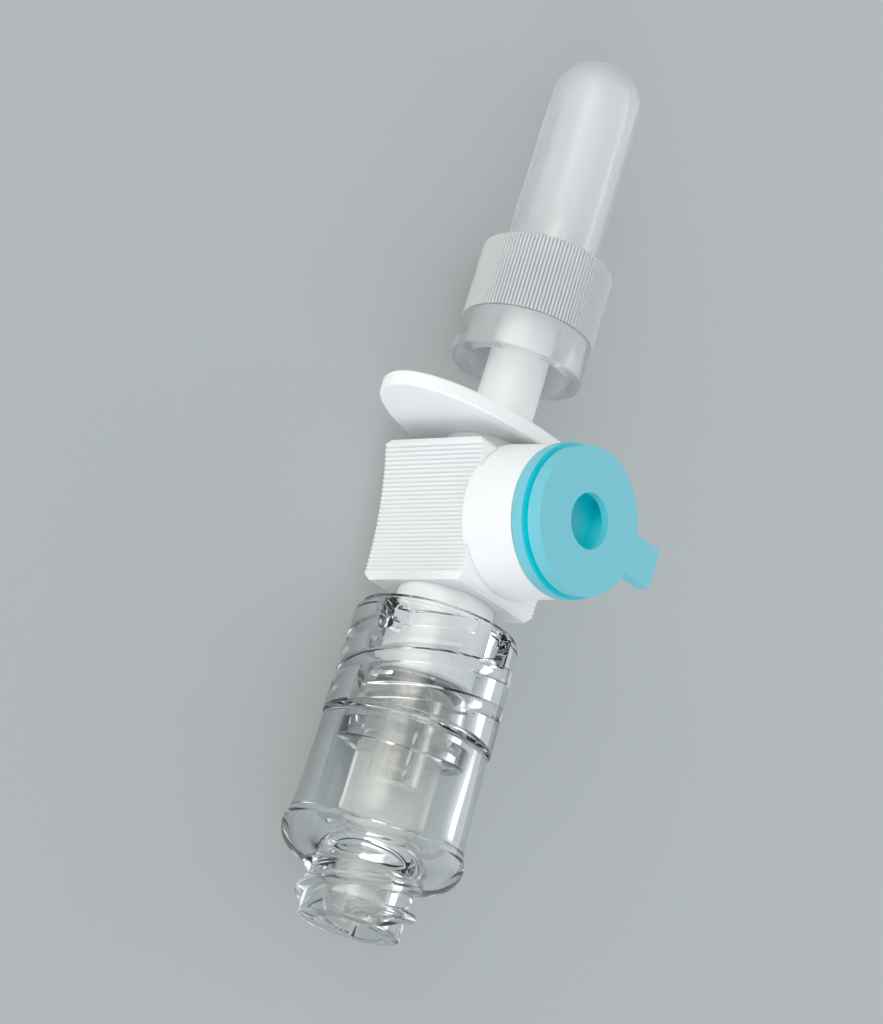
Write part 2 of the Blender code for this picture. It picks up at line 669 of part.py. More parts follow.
def build_valve_seal(shop):
    shoulder = SEAL_RADIUS - SEAL_NECK_RADIUS
    bore = CANNULA_RADIUS + FIT
    seal = turned(shop, "valve_seal", [
        (0.0, CANNULA_END - FIT),
        (bore, CANNULA_END - FIT),
        (bore, SEAL_TOP),
        (SEAL_RADIUS, SEAL_TOP),
        (SEAL_RADIUS, SEAL_BODY_END),
    ] + arc(SEAL_NECK_RADIUS, SEAL_BODY_END, shoulder, shoulder, -18, -90, 4) + [
        (SEAL_NECK_RADIUS, SEAL_FACE_LEVEL),
        (0.0, SEAL_FACE_LEVEL),
    ], FINE_STEPS, closed=False, tool=False)
    half_length = SEAL_NECK_RADIUS * 0.7
    half_width = SEAL_SLIT_WIDTH / 2
    slit = prism(shop, "seal_slit", [
        (-half_length, -half_width), (half_length, -half_width),
        (half_length, half_width), (-half_length, half_width),
    ], SEAL_FACE_LEVEL - OVERLAP, SEAL_FACE_LEVEL + SEAL_SLIT_DEPTH, "Z")
    combine(seal, "DIFFERENCE", [slit])
    return seal


def settle_mesh(obj, material):
    """Replaces the piece's modifiers with the mesh they make, shaded smooth across gentle edges."""
    graph = bpy.context.evaluated_depsgraph_get()
    mesh = bpy.data.meshes.new_from_object(obj.evaluated_get(graph))
    mesh.name = obj.name
    obj.modifiers.clear()
    obj.data = mesh
    mesh.materials.clear()
    mesh.materials.append(material)
    mesh.shade_smooth()
    mesh.set_sharp_from_angle(angle=SMOOTH_ANGLE)


def lay_down(shop, pieces):
    """Lays the device on its back, spike towards -X, with the middle of its box over the origin."""
    run = FLANGE_TOP - FLANGE_EDGE - FLARE_LEVEL
    tilt = -math.atan2(FLARE_RADIUS - FLANGE_HALF_WIDTH, run)
    lying = Matrix(((0, 0, -1), (1, 0, 0), (0, -1, 0))).to_4x4()
    turn = Matrix.Rotation(tilt, 4, "Y") @ lying
    points = [
        turn @ piece.matrix_local @ vertex.co for piece in pieces for vertex in piece.data.vertices
    ]
    low, high = ([pick(point[k] for point in points) for k in range(3)] for pick in (min, max))
    middle = [(a + b) / 2 for a, b in zip(low, high)]
    shop.frame.matrix_world = Matrix.Translation((-middle[0], -middle[1], -low[2])) @ turn


def main():
    clear_scene()
    shop = Workshop()
    white = plastic("white_abs", (0.86, 0.87, 0.87), 0.35)
    teal = plastic("teal_abs", (0.20, 0.55, 0.62), 0.4)
    milky = plastic("milky_polythene", (0.78, 0.82, 0.84), 0.4, 0.6, 1.5)
    clear = plastic("clear_polycarbonate", (0.95, 0.97, 0.98), 0.05, 1.0, 1.58)
    silicone = plastic("silicone", (0.85, 0.83, 0.76), 0.45, 0.3, 1.41)
    filter_white = plastic("filter_membrane", (0.92, 0.92, 0.90), 0.8)
    pieces = {
        build_spike_body(shop): white,
        build_vent_membrane(shop): filter_white,
        build_vent_cap(shop): teal,
        build_spike_cover(shop): milky,
        build_valve_base(shop): clear,
        build_valve_seal(shop): silicone,
        build_valve_housing(shop): clear,
    }
    for obj, material in pieces.items():
        settle_mesh(obj, material)
    lay_down(shop, pieces)


main()
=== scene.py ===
"""Looks for a dispensing spike that lies on its back.

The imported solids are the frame. The clear valve, its seal and the milky cover are turned again
here with finer facets and softened edges, because their flat facets would show in refraction.
The white body and the teal cap are copies of their solids, shaded so that edges stay sharp, and
the vent's membrane shows its own solid.
"""

import math

import bmesh
import bpy
from mathutils import Matrix, Vector


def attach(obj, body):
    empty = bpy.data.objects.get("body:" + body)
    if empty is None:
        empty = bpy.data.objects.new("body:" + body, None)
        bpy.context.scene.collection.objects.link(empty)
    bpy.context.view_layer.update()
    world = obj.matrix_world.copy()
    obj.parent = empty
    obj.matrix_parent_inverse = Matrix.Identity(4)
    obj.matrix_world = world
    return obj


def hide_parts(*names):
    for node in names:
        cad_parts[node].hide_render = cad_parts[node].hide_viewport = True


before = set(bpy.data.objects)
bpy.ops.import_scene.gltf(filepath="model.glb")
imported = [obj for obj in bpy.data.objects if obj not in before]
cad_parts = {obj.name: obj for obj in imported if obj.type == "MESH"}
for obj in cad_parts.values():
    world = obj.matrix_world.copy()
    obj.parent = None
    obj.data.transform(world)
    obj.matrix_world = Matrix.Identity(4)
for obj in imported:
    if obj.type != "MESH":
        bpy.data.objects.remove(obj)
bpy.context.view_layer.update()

MM = 0.001
TURN_STEPS = 144
SMOOTH_ANGLE = math.radians(38)
CRISP_ANGLE = math.radians(20)
FLAT_CORNER = math.radians(165)
EDGE_SHARE = 0.45            # the most of an edge's length that one rounded corner takes up
ON_AXIS = 1e-6
TINY = 1e-7

# How the device lies: on the valve's flare and on the edge of its finger flange. Sizes are in
# millimetres in its own frame, with Z towards the spike's tip and -Y towards the vent.
FLARE_RADIUS = 5.9
FLARE_LEVEL = -16.6
FLANGE_HALF_WIDTH = 5.0
FLANGE_TOP = 9.1 + 1.46 + 0.99
FLANGE_EDGE = 0.12
REST_TILT = math.atan2(FLARE_RADIUS - FLANGE_HALF_WIDTH, FLANGE_TOP - FLANGE_EDGE - FLARE_LEVEL)
REST_ORIGIN = Vector((8.9943, 0.0, 5.3642)) * MM
REST = (
    Matrix.Translation(REST_ORIGIN)
    @ Matrix.Rotation(-REST_TILT, 4, "Y")
    @ Matrix(((0, 0, -1), (1, 0, 0), (0, -1, 0))).to_4x4()
)


# Shapes

def linked(name, data):
    """A new object in the scene."""
    obj = bpy.data.objects.new(name, data)
    bpy.context.scene.collection.objects.link(obj)
    return obj


def place(name, mesh, matrix=None):
    """A piece made in the device's own frame, laid down as the device lies."""
    obj = linked(name, mesh)
    obj.matrix_world = REST @ (matrix or Matrix.Identity(4))
    return obj


def finished(name, work):
    """The mesh of what was built up, with its faces turned outward."""
    bmesh.ops.recalc_face_normals(work, faces=work.faces)
    mesh = bpy.data.meshes.new(name)
    work.to_mesh(mesh)
    work.free()
    return mesh


def ring_of(work, radii, level):
    """Points round Z, one for each radius, all at one level."""
    count = len(radii)
    return [
        work.verts.new((
            radius * MM * math.cos(2 * math.pi * i / count),
            radius * MM * math.sin(2 * math.pi * i / count), level * MM,
        ))
        for i, radius in enumerate(radii)
    ]


def bridge(work, rings):
    """Faces between each ring and the next."""
    for first, second in zip(rings, rings[1:]):
        for i in range(len(first)):
            after = (i + 1) % len(first)
            work.faces.new((first[i], first[after], second[after], second[i]))


def soften(profile, radius, count=3):
    """Rounds every corner of a closed (r, z) profile; a corner's third value is a radius of its own."""
    rounded = []
    total = len(profile)
    for i in range(total):
        corner = Vector(profile[i][:2])
        own = profile[i][2] if len(profile[i]) > 2 else radius
        before, after = Vector(profile[i - 1][:2]), Vector(profile[(i + 1) % total][:2])
        toward_a, toward_b = before - corner, after - corner
        if corner.x < TINY or min(toward_a.length, toward_b.length) < TINY:
            rounded.append(tuple(corner))
            continue
        angle = toward_a.angle(toward_b)
        if angle > FLAT_CORNER:
            rounded.append(tuple(corner))
            continue
        reach = min(own / math.tan(angle / 2), EDGE_SHARE * toward_a.length, EDGE_SHARE * toward_b.length)
        start = corner + toward_a.normalized() * reach
        end = corner + toward_b.normalized() * reach
        for k in range(count + 1):
            t = k / count
            point = start * (1 - t) ** 2 + corner * 2 * t * (1 - t) + end * t ** 2
            rounded.append((point.x, point.y))
    return rounded


def arc(centre_r, centre_z, radius_r, radius_z, start, end, count):
    """Points along an ellipse's arc in the (r, z) plane, angles in degrees from +r."""
    points = []
    for i in range(count + 1):
        angle = math.radians(start + (end - start) * i / count)
        points.append((centre_r + radius_r * math.cos(angle), centre_z + radius_z * math.sin(angle)))
    return points


def turned_mesh(name, profile, steps=TURN_STEPS):
    """A closed (r, z) profile in millimetres, running down its outer side, turned round Z."""
    work = bmesh.new()
    rings = []
    for r, z in profile:
        if r < ON_AXIS:
            rings.append([work.verts.new((0.0, 0.0, z * MM))])
        else:
            rings.append(ring_of(work, [r] * steps, z))
    for first, second in zip(rings, rings[1:] + rings[:1]):
        if len(first) == 1 and len(second) == 1:
            continue
        for i in range(steps):
            after = (i + 1) % steps
            if len(first) == 1:
                work.faces.new((first[0], second[i], second[after]))
            elif len(second) == 1:
                work.faces.new((first[after], first[i], second[0]))
            else:
                work.faces.new((first[after], first[i], second[i], second[after]))
    return finished(name, work)


RIDGE_STEP = math.radians(3)
RUN_IN = math.radians(20)    # turn over which a ridge's end grows out of the wall
LEAST_TIP = 0.05             # share of its height that a ridge starts with
CREST_POINTS = 6
CREST_EDGE = 0.86            # height at the edges of the crest, as a share of the height in its middle


def ridge_mesh(name, root, crest, width, lead, start_angle, sweep, start_z, back, top=(-0.25, 0.25)):
    """A thread ridge that runs round Z and tapers into the wall at both ends; top is its crest's span."""
    count = max(24, round(sweep / RIDGE_STEP))
    half = width / 2
    work = bmesh.new()
    rings = []
    for i in range(count + 1):
        turn = start_angle + sweep * i / count
        level = start_z + lead * (turn - start_angle) / (2 * math.pi)
        run = min(i, count - i) / count * sweep
        grown = min(1.0, run / RUN_IN) ** 0.5
        tip = root + (crest - root) * (LEAST_TIP + (1 - LEAST_TIP) * grown)
        section = [(back, -half), (back, half), (root, half)]
        for k in range(CREST_POINTS):
            share = k / (CREST_POINTS - 1)
            across = top[1] + (top[0] - top[1]) * share
            rise = CREST_EDGE + (1 - CREST_EDGE) * math.sin(math.pi * share)
            section.append((root + (tip - root) * rise, width * across))
        section.append((root, -half))
        rings.append([
            work.verts.new((r * MM * math.cos(turn), r * MM * math.sin(turn), (level + z) * MM))
            for r, z in section
        ])
    bridge(work, rings)
    work.faces.new(rings[0])
    work.faces.new(rings[-1])
    return finished(name, work)


def prism_mesh(name, outline, low, high):
    """An outline in (y, z), extruded along X, in millimetres."""
    work = bmesh.new()
    face = work.faces.new([work.verts.new((low * MM, y * MM, z * MM)) for y, z in outline])
    grown = bmesh.ops.extrude_face_region(work, geom=[face])["geom"]
    lift = Vector(((high - low) * MM, 0.0, 0.0))
    bmesh.ops.translate(work, verts=[g for g in grown if isinstance(g, bmesh.types.BMVert)], vec=lift)
    return finished(name, work)


def combine(obj, operation, tools):
    """Applies Booleans with the tools and removes them."""
    for tool in tools:
        modifier = obj.modifiers.new(operation.lower(), "BOOLEAN")
        modifier.operation = operation
        modifier.solver = "EXACT"
        modifier.object = tool
    graph = bpy.context.evaluated_depsgraph_get()
    mesh = bpy.data.meshes.new_from_object(obj.evaluated_get(graph))
    mesh.name = obj.name
    obj.modifiers.clear()
    obj.data = mesh
    for tool in tools:
        bpy.data.objects.remove(tool, do_unlink=True)


def dress(obj, material, node):
    """Gives a new piece its looks, and hides the solid it takes the place of."""
    obj.data.materials.clear()
    obj.data.materials.append(material)
    obj.data.shade_smooth()
    obj.data.set_sharp_from_angle(angle=SMOOTH_ANGLE)
    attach(obj, "root")
    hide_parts(node)


# Materials

# The ribbed band of the cover, which is duller than the rest of it
KNURL_LOW = 19.14
KNURL_HIGH = 24.5
BAND_BLUR = 0.1

# Lengths in metres
GRAIN_FINE = 0.00002
GRAIN_DEEP = 0.00003
# how far the ambient occlusion for the painted shade in grooves reaches
GROOVE_SHADE_REACH = 0.00022
# how far the ambient occlusion for the vent cap's painted shade and sheen reaches
CAP_SHADE_REACH = 0.0022
SHADE_SAMPLES = 8


def shader(name):
    """A new material, its nodes, its links and its shader node."""
    made = bpy.data.materials.new(name)
    made.use_nodes = True
    return made, made.node_tree.nodes, made.node_tree.links, made.node_tree.nodes["Principled BSDF"]


def grain(nodes, links, bsdf, scale, strength, distance):
    """Fine moulded texture as bump."""
    coordinates = nodes.new("ShaderNodeTexCoord")
    noise = nodes.new("ShaderNodeTexNoise")
    noise.inputs["Scale"].default_value = scale
    noise.inputs["Detail"].default_value = 3.0
    links.new(coordinates.outputs["Object"], noise.inputs["Vector"])
    bump = nodes.new("ShaderNodeBump")
    bump.inputs["Strength"].default_value = strength
    bump.inputs["Distance"].default_value = distance
    links.new(noise.outputs["Fac"], bump.inputs["Height"])
    links.new(bump.outputs["Normal"], bsdf.inputs["Normal"])
    return noise, coordinates


def ramp(nodes, links, source, stops):
    """A colour that follows a value from one stop to the next."""
    made = nodes.new("ShaderNodeValToRGB")
    for i, (position, colour) in enumerate(stops):
        element = made.color_ramp.elements[i] if i < 2 else made.color_ramp.elements.new(position)
        element.position = position
        element.color = (*colour, 1.0)
    links.new(source, made.inputs["Fac"])
    return made


def drifting_tone(nodes, links, coordinates, scale, stops):
    """A tone that changes slightly from place to place."""
    cloud = nodes.new("ShaderNodeTexNoise")
    cloud.inputs["Scale"].default_value = scale
    links.new(coordinates.outputs["Object"], cloud.inputs["Vector"])
    return ramp(nodes, links, cloud.outputs["Fac"], stops)


def painted_groove_shade(nodes, links, colour, least):
    """Painted shade: the colour, darkened by ambient occlusion down to a least share of itself at the bottom
    of fine grooves.
    """
    groove = nodes.new("ShaderNodeAmbientOcclusion")
    groove.samples = SHADE_SAMPLES
    groove.inputs["Distance"].default_value = GROOVE_SHADE_REACH
    depth = ramp(nodes, links, groove.outputs["AO"], [(0.35, (least, least, least)), (0.95, (1.0, 1.0, 1.0))])
    darker = nodes.new("ShaderNodeMix")
    darker.data_type = "RGBA"
    darker.blend_type = "MULTIPLY"
    darker.inputs["Factor"].default_value = 1.0
    links.new(colour, darker.inputs["A"])
    links.new(depth.outputs["Color"], darker.inputs["B"])
    return darker.outputs["Result"]


def level_step(nodes, links, height, level):
    """Goes from 0 to 1 where the height passes a level, given in millimetres."""
    step = nodes.new("ShaderNodeMapRange")
    step.inputs["From Min"].default_value = (level - BAND_BLUR) * MM
    step.inputs["From Max"].default_value = (level + BAND_BLUR) * MM
    links.new(height, step.inputs["Value"])
    return step.outputs["Result"]


def let_light_in(nodes, links, bsdf, share):
    """A share of the studio's light goes straight through, so that what is inside is lit."""
    path = nodes.new("ShaderNodeLightPath")
    blocked = nodes.new("ShaderNodeMapRange")
    blocked.inputs["To Min"].default_value = 1.0
    blocked.inputs["To Max"].default_value = 1.0 - share
    links.new(path.outputs["Is Shadow Ray"], blocked.inputs["Value"])
    links.new(blocked.outputs["Result"], bsdf.inputs["Alpha"])


def white_plastic():
    """The body's white plastic, slightly soft in its light, with painted shade between its ribs."""
    made, nodes, links, bsdf = shader("white_abs_moulded")
    _, coordinates = grain(nodes, links, bsdf, 2200.0, 0.06, GRAIN_FINE)
    stops = [(0.3, (0.87, 0.88, 0.885)), (0.7, (0.90, 0.905, 0.905))]
    tone = drifting_tone(nodes, links, coordinates, 180.0, stops)
    # Painted shade: ambient occlusion darkens the colour between the ribs and in other fine grooves
    links.new(painted_groove_shade(nodes, links, tone.outputs["Color"], 0.82), bsdf.inputs["Base Color"])
    bsdf.inputs["Roughness"].default_value = 0.42
    bsdf.inputs["IOR"].default_value = 1.53
    bsdf.inputs["Subsurface Weight"].default_value = 0.3
    bsdf.inputs["Subsurface Radius"].default_value = (1.0, 0.95, 0.9)
    bsdf.inputs["Subsurface Scale"].default_value = 0.0005
    return made


def teal_plastic():
    """The vent cap's plastic, with painted light: deeper in colour where it is shaded, and paler on open
    faces as a painted sheen.
    """
    made, nodes, links, bsdf = shader("teal_abs_moulded")
    grain(nodes, links, bsdf, 2400.0, 0.05, GRAIN_FINE)
    # Painted light: the colour follows ambient occlusion, saturated cyan in the groove and the hole and paler
    # on open faces, where the paler tone stands in for a sheen
    shade = nodes.new("ShaderNodeAmbientOcclusion")
    shade.samples = SHADE_SAMPLES
    shade.inputs["Distance"].default_value = CAP_SHADE_REACH
    tone = ramp(nodes, links, shade.outputs["AO"], [(0.45, (0.0, 0.74, 0.82)), (0.95, (0.18, 0.57, 0.67))])
    links.new(tone.outputs["Color"], bsdf.inputs["Base Color"])
    bsdf.inputs["Roughness"].default_value = 0.32
    bsdf.inputs["IOR"].default_value = 1.5
    return made


def clear_plastic():
    """The valve's clear plastic."""
    made, nodes, links, bsdf = shader("clear_polycarbonate_moulded")
    grain(nodes, links, bsdf, 260.0, 0.04, GRAIN_DEEP)
    bsdf.inputs["Base Color"].default_value = (0.97, 0.985, 0.985, 1.0)
    bsdf.inputs["Roughness"].default_value = 0.02
    bsdf.inputs["IOR"].default_value = 1.5
    bsdf.inputs["Transmission Weight"].default_value = 1.0
    let_light_in(nodes, links, bsdf, 0.75)
    return made


def milky_plastic():
    """The cover's milky plastic, with a duller and darker ribbed band, and painted shade in the grooves of
    its ribs.
    """
    made, nodes, links, bsdf = shader("milky_polythene_moulded")
    _, coordinates = grain(nodes, links, bsdf, 1500.0, 0.02, GRAIN_FINE)
    stops = [(0.3, (0.94, 0.955, 0.96)), (0.7, (0.96, 0.97, 0.975))]
    tone = drifting_tone(nodes, links, coordinates, 120.0, stops)
    split = nodes.new("ShaderNodeSeparateXYZ")
    links.new(coordinates.outputs["Object"], split.inputs["Vector"])
    low, high = (level_step(nodes, links, split.outputs["Z"], level) for level in (KNURL_LOW, KNURL_HIGH))
    knurled = nodes.new("ShaderNodeMath")
    knurled.operation = "SUBTRACT"
    links.new(low, knurled.inputs[0])
    links.new(high, knurled.inputs[1])
    for socket, plain, ribbed in (("Transmission Weight", 0.79, 0.3), ("Roughness", 0.06, 0.3)):
        change = nodes.new("ShaderNodeMapRange")
        change.inputs["To Min"].default_value = plain
        change.inputs["To Max"].default_value = ribbed
        links.new(knurled.outputs["Value"], change.inputs["Value"])
        links.new(change.outputs["Result"], bsdf.inputs[socket])
    toned = nodes.new("ShaderNodeMix")
    toned.data_type = "RGBA"
    toned.blend_type = "MULTIPLY"
    links.new(knurled.outputs["Value"], toned.inputs["Factor"])
    links.new(tone.outputs["Color"], toned.inputs["A"])
    toned.inputs["B"].default_value = (0.84, 0.85, 0.86, 1.0)
    # Painted shade: ambient occlusion darkens the colour in the grooves of the ribbed band
    links.new(painted_groove_shade(nodes, links, toned.outputs["Result"], 0.5), bsdf.inputs["Base Color"])
    bsdf.inputs["IOR"].default_value = 1.16
    let_light_in(nodes, links, bsdf, 0.6)
    bsdf.inputs["Coat Weight"].default_value = 0.7
    bsdf.inputs["Coat Roughness"].default_value = 0.25
    bsdf.inputs["Subsurface Weight"].default_value = 0.3
    bsdf.inputs["Subsurface Radius"].default_value = (1.0, 1.0, 1.0)
    bsdf.inputs["Subsurface Scale"].default_value = 0.001
    return made


def soft_silicone():
    """The seal's translucent rubber."""
    made, nodes, links, bsdf = shader("silicone_moulded")
    noise, _ = grain(nodes, links, bsdf, 1500.0, 0.05, GRAIN_FINE)
    tone = ramp(nodes, links, noise.outputs["Fac"], [(0.3, (0.94, 0.93, 0.88)), (0.7, (0.96, 0.955, 0.91))])
    links.new(tone.outputs["Color"], bsdf.inputs["Base Color"])
    bsdf.inputs["Roughness"].default_value = 0.12
    bsdf.inputs["IOR"].default_value = 1.41
    bsdf.inputs["Transmission Weight"].default_value = 0.8
    let_light_in(nodes, links, bsdf, 0.6)
    return made


def filter_paper():
    """The vent's membrane, which is matt and fibrous."""
    made, nodes, links, bsdf = shader("filter_membrane_fibre")
    noise, _ = grain(nodes, links, bsdf, 6000.0, 0.4, GRAIN_DEEP)
    tone = ramp(nodes, links, noise.outputs["Fac"], [(0.3, (0.86, 0.86, 0.84)), (0.7, (0.93, 0.93, 0.91))])
    links.new(tone.outputs["Color"], bsdf.inputs["Base Color"])
    bsdf.inputs["Roughness"].default_value = 0.85
    return made


WHITE = white_plastic()
TEAL = teal_plastic()
CLEAR = clear_plastic()
MILKY = milky_plastic()
SILICONE = soft_silicone()
FILTER = filter_paper()


# Valve base: lock collar, pedestal, male luer, plug and cannula in one clear moulding

# Radii and levels in millimetres
FIT = 0.2
SOFT_EDGE = 0.12
LUMEN = 0.5
LUER_TOP = 0.8
LUER_TIP_RADIUS = 1.743
LUER_ROOT_RADIUS = 1.95
PEDESTAL_RADIUS = 3.38
PEDESTAL_TOP = -6.1
SOCKET_ROOF = -6.6
TRENCH = -8.6
COLLAR_BORE = 4.1
THREAD_MINOR = 3.55
COLLAR_TOP = -1.65
COLLAR_SHOULDER = -2.1
COLLAR_FOOT = -9.16
COLLAR_RIM_RADIUS = 5.12
COLLAR_TOP_RADIUS = 5.4
COLLAR_FOOT_RADIUS = 5.49
PLUG_RADIUS = 4.05
PLUG_BORE = 2.94
PLUG_END = -11.1
THREAD_LEAD = 4.75
THREAD_FIRST = math.radians(175)
RIDGE_WIDTH = 1.0
RIDGE_ROOT = 0.3             # how deep a ridge is set into its wall
RIDGE_CREST = (-0.42, 0.42)
WINDOW_COUNT = 4
WINDOW_INNER = THREAD_MINOR - 0.3
WINDOW_OUTER = 5.8
WINDOW_WIDTH = 1.2
WINDOW_HEAD = -1.95
WINDOW_FOOT = -4.15
WINDOW_FIRST = math.radians(188.5)
CANNULA_RADIUS = 1.0
CANNULA_TAPER = -12.3
CANNULA_TIP_RADIUS = 0.62
CANNULA_END = -12.8
SEAM_EDGE = 0.04             # rounding where two pieces meet, so that the seam stays a fine line


def valve_base():
    """The valve's upper half, with its thread ridges joined on and its windows cut out."""
    profile = soften([
        (LUMEN, LUER_TOP), (LUER_TIP_RADIUS, LUER_TOP), (LUER_ROOT_RADIUS, PEDESTAL_TOP),
        (PEDESTAL_RADIUS, PEDESTAL_TOP), (PEDESTAL_RADIUS, TRENCH),
        (COLLAR_BORE, TRENCH), (COLLAR_BORE, COLLAR_TOP), (COLLAR_RIM_RADIUS, COLLAR_TOP),
        (COLLAR_RIM_RADIUS, COLLAR_SHOULDER, 0.05), (COLLAR_TOP_RADIUS, COLLAR_SHOULDER, 0.24),
        (COLLAR_FOOT_RADIUS, COLLAR_FOOT, SEAM_EDGE), (PLUG_RADIUS, COLLAR_FOOT),
        (PLUG_RADIUS, PLUG_END), (PLUG_BORE, PLUG_END), (PLUG_BORE, SOCKET_ROOF),
        (CANNULA_RADIUS, SOCKET_ROOF), (CANNULA_RADIUS, CANNULA_TAPER),
        (CANNULA_TIP_RADIUS, CANNULA_END), (LUMEN, CANNULA_END),
    ], SOFT_EDGE)
    base = place("valve_base_clear", turned_mesh("valve_base_clear", profile))
    first = TRENCH + RIDGE_WIDTH / 2
    sweep = 2 * math.pi * (COLLAR_TOP - SOFT_EDGE - RIDGE_WIDTH / 2 - first) / THREAD_LEAD
    ridges = [
        place(f"ridge_{start}", ridge_mesh(
            f"ridge_{start}", COLLAR_BORE, THREAD_MINOR, RIDGE_WIDTH, THREAD_LEAD,
            THREAD_FIRST + math.pi * start, sweep, first, COLLAR_BORE + RIDGE_ROOT, RIDGE_CREST,
        ))
        for start in range(2)
    ]
    combine(base, "UNION", ridges)
    half, corner = WINDOW_WIDTH / 2, WINDOW_WIDTH / 3
    outline = []
    for across, level, turn in (
        (half - corner, WINDOW_HEAD - corner, 0), (corner - half, WINDOW_HEAD - corner, 90),
        (corner - half, WINDOW_FOOT + corner, 180), (half - corner, WINDOW_FOOT + corner, 270),
    ):
        outline += arc(across, level, corner, corner, turn, turn + 90, 6)
    windows = [
        place(
            f"window_{i}", prism_mesh(f"window_{i}", outline, WINDOW_INNER, WINDOW_OUTER),
            Matrix.Rotation(WINDOW_FIRST + math.pi / 2 * i, 4, "Z"),
        )
        for i in range(WINDOW_COUNT)
    ]
    combine(base, "DIFFERENCE", windows)
    dress(base, CLEAR, "valve_base")


# Valve housing: shoulder, flare and threaded neck

HOUSING_TOP = -9.36
HOUSING_TOP_RADIUS = 5.39
HOUSING_EDGE = 0.14
FLARE_CENTRE = 3.8           # radius at which the flare's round starts
FLARE_ROUND = 2.1
FLARE_DROP = 1.85
NECK_RADIUS = 3.33
NECK_CREST = 3.915
NECK_BACK = 3.0
NECK_GAP = 0.15              # plain wall between the mouth's end and the first ridge
NECK_END = -22.0
NECK_LEAD = 3.7
NECK_RIDGE_WIDTH = 0.95
NECK_THREAD_FIRST = math.radians(215)
SHOULDER = -18.45
MOUTH_RADIUS = 2.15
BORE_RADIUS = 1.964
CAVITY_RADIUS = 4.25
CAVITY_FLOOR = -16.9
CAVITY_CORNER = 1.2

# The wall widens towards the flare, first evenly and then faster, at these distances from its start
SWELL_START = -14.2
SWELL_RADIUS = 5.53
SWELL_SLOPE = 0.029
SWELL_GROWTH = 0.0249
SWELL_RUNS = (0.0, 0.4, 0.8, 1.15, 1.45, 1.7, 1.95, 2.15, 2.3)


def valve_housing():
    """The valve's lower half, with the neck's ridges joined on."""
    swell = [
        (SWELL_RADIUS + SWELL_SLOPE * run + SWELL_GROWTH * run ** 3, SWELL_START - run)
        for run in SWELL_RUNS
    ]
    flare = arc(FLARE_CENTRE, FLARE_LEVEL, FLARE_ROUND, FLARE_DROP, 0, -90, 12)
    neck = [
        (NECK_RADIUS, SHOULDER), (NECK_RADIUS, NECK_END), (MOUTH_RADIUS, NECK_END),
        (BORE_RADIUS, CAVITY_FLOOR),
    ]
    corner = arc(
        CAVITY_RADIUS - CAVITY_CORNER, CAVITY_FLOOR + CAVITY_CORNER,
        CAVITY_CORNER, CAVITY_CORNER, -90, 0, 8,
    )
    profile = soften(
        [(HOUSING_TOP_RADIUS, HOUSING_TOP, SEAM_EDGE)] + swell + flare + neck + corner
        + [(CAVITY_RADIUS, HOUSING_TOP)],
        HOUSING_EDGE,
    )
    housing = place("valve_housing_clear", turned_mesh("valve_housing_clear", profile))
    first = NECK_END + NECK_RIDGE_WIDTH / 2 + NECK_GAP
    sweep = 2 * math.pi * (SHOULDER - first) / NECK_LEAD
    ridges = [
        place(f"neck_ridge_{start}", ridge_mesh(
            f"neck_ridge_{start}", NECK_RADIUS, NECK_CREST, NECK_RIDGE_WIDTH, NECK_LEAD,
            NECK_THREAD_FIRST + math.pi * start, sweep, first, NECK_BACK,
        ))
        for start in range(2)
    ]
    combine(housing, "UNION", ridges)
    dress(housing, CLEAR, "valve_housing")


# Valve seal: a soft plug round the cannula, with a slit in its face

SEAL_STEPS = 96
SEAL_RADIUS = 2.74
SEAL_BORE = 1.2
SEAL_ROUND = 0.6
SEAL_SHOULDER = -16.0
SEAL_STEM_RADIUS = 1.85
SEAL_STEM_TOP = -16.75
SEAL_FACE = -20.4
SLIT_HALF_WIDTH = 0.05
SLIT_HALF_LENGTH = 0.9
SLIT_DEPTH = 1.2
SLIT_OVERRUN = 0.3


def valve_seal():
    """The seal, from the plug's roof down into the neck."""
    hollow = [
        (0.0, CANNULA_END - FIT), (SEAL_BORE, CANNULA_END - FIT),
        (SEAL_BORE, SOCKET_ROOF - FIT), (SEAL_RADIUS, SOCKET_ROOF - FIT),
    ]
    shoulder = arc(SEAL_RADIUS - SEAL_ROUND, SEAL_SHOULDER, SEAL_ROUND, SEAL_ROUND, 0, -80, 8)
    stem = [(SEAL_STEM_RADIUS, SEAL_STEM_TOP), (SEAL_STEM_RADIUS, SEAL_FACE), (0.0, SEAL_FACE)]
    profile = soften(hollow + shoulder + stem, SOFT_EDGE)
    seal = place("valve_seal_soft", turned_mesh("valve_seal_soft", profile, SEAL_STEPS))
    mouth, end = SEAL_FACE - SLIT_OVERRUN, SEAL_FACE + SLIT_DEPTH
    slit = place("slit", prism_mesh("slit", [
        (-SLIT_HALF_WIDTH, mouth), (SLIT_HALF_WIDTH, mouth), (SLIT_HALF_WIDTH, end), (-SLIT_HALF_WIDTH, end),
    ], -SLIT_HALF_LENGTH, SLIT_HALF_LENGTH))
    combine(seal, "DIFFERENCE", [slit])
    dress(seal, SILICONE, "valve_seal")


# Spike cover

DOME_LEVEL = 36.56
TUBE_RADIUS = 3.04
TUBE_FOOT_RADIUS = 3.15
TUBE_BORE = 2.18
TUBE_FOOT_BORE = 2.22
GRIP_CORE_RADIUS = 4.16
SKIRT_RADIUS = 4.38
SKIRT_END = 16.46
SKIRT_BORE = 3.35
SKIRT_ROOF = 19.56

KNURL_COUNT = 110
KNURL_RADIUS = 4.45
KNURL_WAVE = (0.0, 0.04, 0.14, 0.04)     # how far each point round a rib lies in from its crest
KNURL_FOOT = KNURL_LOW - 0.02            # a little way into the skirt, so that the two join
KNURL_TOP_BORE = 3.0
KNURL_FOOT_BORE = 3.7
